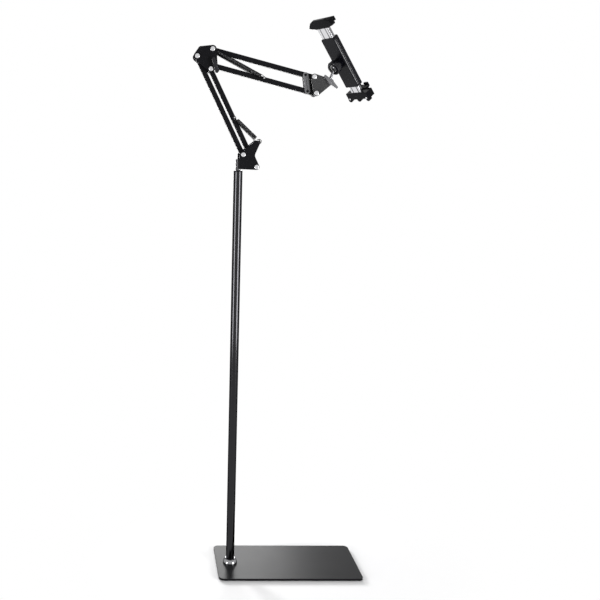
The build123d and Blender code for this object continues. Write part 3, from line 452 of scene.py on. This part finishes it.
def eye(centre, radius, start, end):
    """Arc in the plane of X and Y: centre + radius (cos a, sin a), a from start to end."""
    a = np.radians(np.linspace(start, end, EYE_POINTS))
    return np.stack([centre + radius * np.cos(a), radius * np.sin(a), 0 * a], -1)


def lead(p, p_way, q, q_way):
    """Hermite cubic from p to q with the end directions p_way and q_way."""
    s = np.linspace(0, 1, LEAD_POINTS + 2)[1:-1, None]
    size = np.linalg.norm(q - p)
    return ((2 * s**3 - 3 * s**2 + 1) * p + (s**3 - 2 * s**2 + s) * p_way * size
            + (3 * s**2 - 2 * s**3) * q + (s**3 - s**2) * q_way * size)


def spring_line(length, wide_eye, small_eye, coil, pitch):
    """Eye, lead, helix x = s, y = r cos a, z = r sin a, lead and eye, along local +X. The second
    value says how far each point belongs to the coil."""
    low, high = wide_eye + LEAD_LENGTH * coil, length - small_eye - LEAD_LENGTH * coil
    turns = round((high - low) / pitch)
    a = np.linspace(0, 2 * math.pi * turns, TURN_POINTS * turns)
    winding = np.stack([np.linspace(low, high, a.size), coil * np.cos(a), coil * np.sin(a)], -1)
    first, last = eye(0, wide_eye, *WIDE_EYE_ARC), eye(length, small_eye, *SMALL_EYE_ARC)
    into = lead(first[-1], AHEAD, winding[0], COIL_WAY)
    out = lead(winding[-1], COIL_WAY, last[0], AHEAD)
    in_coil = np.concatenate([np.zeros(EYE_POINTS), np.linspace(0, 1, LEAD_POINTS),
                              np.ones(a.size), np.linspace(1, 0, LEAD_POINTS),
                              np.zeros(EYE_POINTS)])
    return np.concatenate([first, into, winding, out, last]), in_coil


print("points in a turn", TURN_POINTS)

# %% [markdown]
# A round wire is a ring of points carried along that line. The ring needs a steady sideways
# direction, or it twists: the eyes lie flat, so there it is Z, and in the coil it is the coil's
# own axis X.

# %% Wire round the line
RING_POINTS = 8


def wire_rings(line, in_coil, radius):
    """Ring = line + radius (cos t N + sin t B), with N and B square to the line's direction."""
    way = np.gradient(line, axis=0)
    way /= np.linalg.norm(way, axis=1, keepdims=True)
    sideways = ((1 - in_coil)[:, None] * np.array([0, 0, 1.0])
                + in_coil[:, None] * np.array([1.0, 0, 0]))
    normal = np.cross(sideways, way)
    normal /= np.linalg.norm(normal, axis=1, keepdims=True)
    binormal = np.cross(way, normal)
    t = np.linspace(0, 2 * math.pi, RING_POINTS, endpoint=False)[None, :, None]
    return line[:, None] + radius * (np.cos(t) * normal[:, None] + np.sin(t) * binormal[:, None])


print("points in a ring", RING_POINTS)

# %% [markdown]
# Each spring runs from a hook on one body to a pin on another. `bend_from` and `bend_to` give
# shares of its length, near the elbow only for the upper springs and over the whole length for the
# lower ones, and the points there are worked out, but nothing uses them: the mesh stays as wound.

# %% Wind and hang the springs
def wound_spring(name, node, start_eye, end_eye, y, eyes, wire, bend_from, bend_to):
    """Local X points from eye to eye, local Z towards the viewer: place = local @ basis + eye."""
    way = end_eye - start_eye
    length = float(np.linalg.norm(way))
    side = np.array([0, -1.0, 0])
    basis = np.stack([way / length, np.cross(side, way / length), side])
    coil = COIL_RADIUS - wire / 2 - COIL_ROOM
    line, in_coil = spring_line(length, *eyes, coil, wire * TURN_GAP)
    rings = wire_rings(line, in_coil, wire / 2) @ basis + start_eye + np.array([0, y, 0])
    obj = closed_tube(name, rings * MM, wire_steel)
    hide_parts(node)
    start, end = (start_eye + way * bend_from) * MM, (start_eye + way * bend_to) * MM
    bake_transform(obj)
    print(name, "points", rings.shape[0] * rings.shape[1])


BAR_HALF, BAR_GAP = 6.0, 0.6
SPRING_Y = BAR_HALF + BAR_GAP + COIL_RADIUS
LOWER_WIRE, LOWER_EYES = 1.6, (5.4, 2.8)
UPPER_WIRE, UPPER_EYES = 1.4, (5.7, 2.8)
PEG_REST = np.array([0.7, 0, 1.2])     # the wide eye rests on its peg from the inside
for name, side in (("near", -1), ("far", 1)):
    wound_spring(f"wound_lower_{name}", f"lower_spring_{name}", bracket_peg + PEG_REST, lower_pin,
                 side * SPRING_Y, LOWER_EYES, LOWER_WIRE, -0.05, 0.90)
    wound_spring(f"wound_upper_{name}", f"upper_spring_{name}", elbow_top_bolt, upper_pin,
                 side * SPRING_Y, UPPER_EYES, UPPER_WIRE, 0.0, 0.35)

# %% [markdown]
# Two fine lines run along each side of the holder's housing: the ridge where its back shell
# meets its side, and a thinner one under it. Their light grey is a painted highlight, the glint of
# light along the ridge. They are flat beads sunk into the wall by half, because a line that was
# only painted would vanish from the side. They ride with the holder.

# %% Lines on the holder
HOUSING_HALF_WIDTH = 21.5
SUNK = 0.05
BEAD_RISE = 0.45             # how far a bead stands out, as a share of its radius
LINE_START, LINE_END = -62.0, 66.0
LINE_STEPS, LINE_RING = 12, 16
END_SHARE = 0.05             # how much of its radius a bead keeps at its very ends
LINES = {"upper": (-20.6, 1.15), "lower": (-24.2, 0.4)}     # level under the back, radius


def holder_place(points):
    """World metres from holder millimetres: ball + x along + y across + z back."""
    return (ball + points[..., :1] * along + points[..., 1:2] * across
            + points[..., 2:] * back) * MM


def housing_line(name, level, radius, side):
    """Ring = (x, side wall + rise r sin t, level + r cos t), with r small at both ends."""
    x = np.concatenate([[LINE_START],
                        np.linspace(LINE_START + radius, LINE_END - radius, LINE_STEPS),
                        [LINE_END]])
    swell = radius * np.concatenate([[END_SHARE], np.ones(LINE_STEPS), [END_SHARE]])[:, None]
    t = -np.linspace(0, 2 * math.pi, LINE_RING, endpoint=False)[None]
    wall = side * (HOUSING_HALF_WIDTH - SUNK)
    rings = np.stack([np.broadcast_to(x[:, None], (x.size, t.size)),
                      wall + BEAD_RISE * swell * np.sin(t), level + swell * np.cos(t)], -1)
    # The beads take the painted highlight grey.
    obj = closed_tube(name, holder_place(rings), highlight_line_coat)
    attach(obj, "holder")


for tag, side in (("right", 1), ("left", -1)):
    for which, (level, radius) in LINES.items():
        housing_line(f"housing_line_{which}_{tag}", level, radius, side)
print("holder lines", 2 * len(LINES))

# %% [markdown]
# The studio has large soft lights, because the pole and the metals are mirrors and show what
# stands round them: a tall light at each side draws the long stripes down the pole. The lights
# above and low behind only brighten the plate and floor, so glossy rays don't see them.

# %% Lights
def area_light(name, stand, target, width, height, watts, mirrored=True):
    """A rectangle of light at `stand` that faces `target`: its -Z axis lies along the way."""
    data = bpy.data.lights.new(name, "AREA")
    data.shape = "RECTANGLE"
    data.size, data.size_y, data.energy = width, height, watts
    obj = bpy.data.objects.new(name, data)
    scene.collection.objects.link(obj)
    way = np.array(target, float) - np.array(stand, float)
    tilt = math.atan2(math.hypot(way[0], way[1]), -way[2])
    obj.location = stand
    obj.rotation_euler = (tilt, 0, math.atan2(way[1], way[0]) - math.pi / 2)
    obj.visible_glossy = mirrored


area_light("tall_right", (1.86, -1.82, 0.58), (0, 0, 0.7), 0.9, 1.1, 66)
area_light("tall_left", (-2.2, -1.35, 0.58), (0, 0, 0.7), 0.6, 1.1, 46)
area_light("overhead", (0.4, 0.9, 2.9), (0.15, 0, 0), 1.6, 1.6, 8, mirrored=False)
area_light("low_behind", (-1.1, 2.2, 0.9), (0.1, 0, 0), 0.6, 0.6, 66, mirrored=False)
area_light("behind_left", (0.05, 2.4, 1.25), (0.05, 0, 0), 1.1, 1.0, 26)
print("lights", len(bpy.data.lights))

# %% [markdown]
# The background is white to the camera, and to rays that a metal or a clear piece sends on, so
# that they show it too. More light would do that as well, but it would wash out the stand: the
# light on the object stays plain, and only those rays meet white.

# %% The white background
def background_rays(tree):
    """1 for the rays that see the background: camera, glossy and transmission."""
    path = Sock.node(tree, "ShaderNodeLightPath", {}, {})
    seen, glossy, through = (Sock(path.outputs[f"Is {kind} Ray"])
                             for kind in ("Camera", "Glossy", "Transmission"))
    return seen.highest(glossy).highest(through)


WORLD_GREY = (0.25, 0.25, 0.255)
WHITE = (1, 1, 1)
world = bpy.data.worlds.new("studio_world")
scene.world = world
world.use_nodes = True
sky = world.node_tree
tone = between(sky, background_rays(sky), WORLD_GREY, WHITE)
Sock.fill(sky.nodes["Background"], {"Color": tone, "Strength": 1.0})
print("world grey", WORLD_GREY)

# %% [markdown]
# The floor is a pale matt sheet. Near the plate it is a real floor and takes the stand's shadow,
# and further out it passes into the white of the background, so no edge of it shows.

# %% Floor
FADE_START, FADE_END = 0.20, 0.42
FADE_CENTRE_X, FADE_SQUEEZE = 0.15, 0.8
FLOOR_SHIFT_Y = 2.0          # the sheet lies mostly behind the stand
FLOOR_SIZE = 14
FLOOR_DROP = 0.0005          # just under the mat, so that the two faces don't share a plane


def fading_floor():
    """Share of white = ramp of the distance sqrt((0.8 (x - centre))^2 + y^2), in those rays."""
    mat = finish("pale_floor", grey(0.90), grey(0.92), 0.7, 0.05, 20, 0.00001)
    tree = mat.node_tree
    x, y, _ = axes(tree)
    x, y = (x - FADE_CENTRE_X) * FADE_SQUEEZE, y + FLOOR_SHIFT_Y
    reach = (x * x + y * y).root().ramp(FADE_START, FADE_END)
    white = Sock.node(tree, "ShaderNodeEmission", {}, {})
    mix = Sock.node(tree, "ShaderNodeMixShader", {}, {
        "Fac": reach * background_rays(tree),
        1: Sock(tree.nodes["Principled BSDF"].outputs[0]),
        2: Sock(white.outputs[0]),
    })
    Sock.fill(tree.nodes["Material Output"], {"Surface": Sock(mix.outputs[0])})
    return mat


bpy.ops.mesh.primitive_plane_add(size=FLOOR_SIZE, location=(0, FLOOR_SHIFT_Y, -FLOOR_DROP))
floor = bpy.context.object
floor.name = "studio_floor"
floor.data.materials.append(fading_floor())
print("floor fades between", FADE_START, "and", FADE_END, "m")

# %% [markdown]
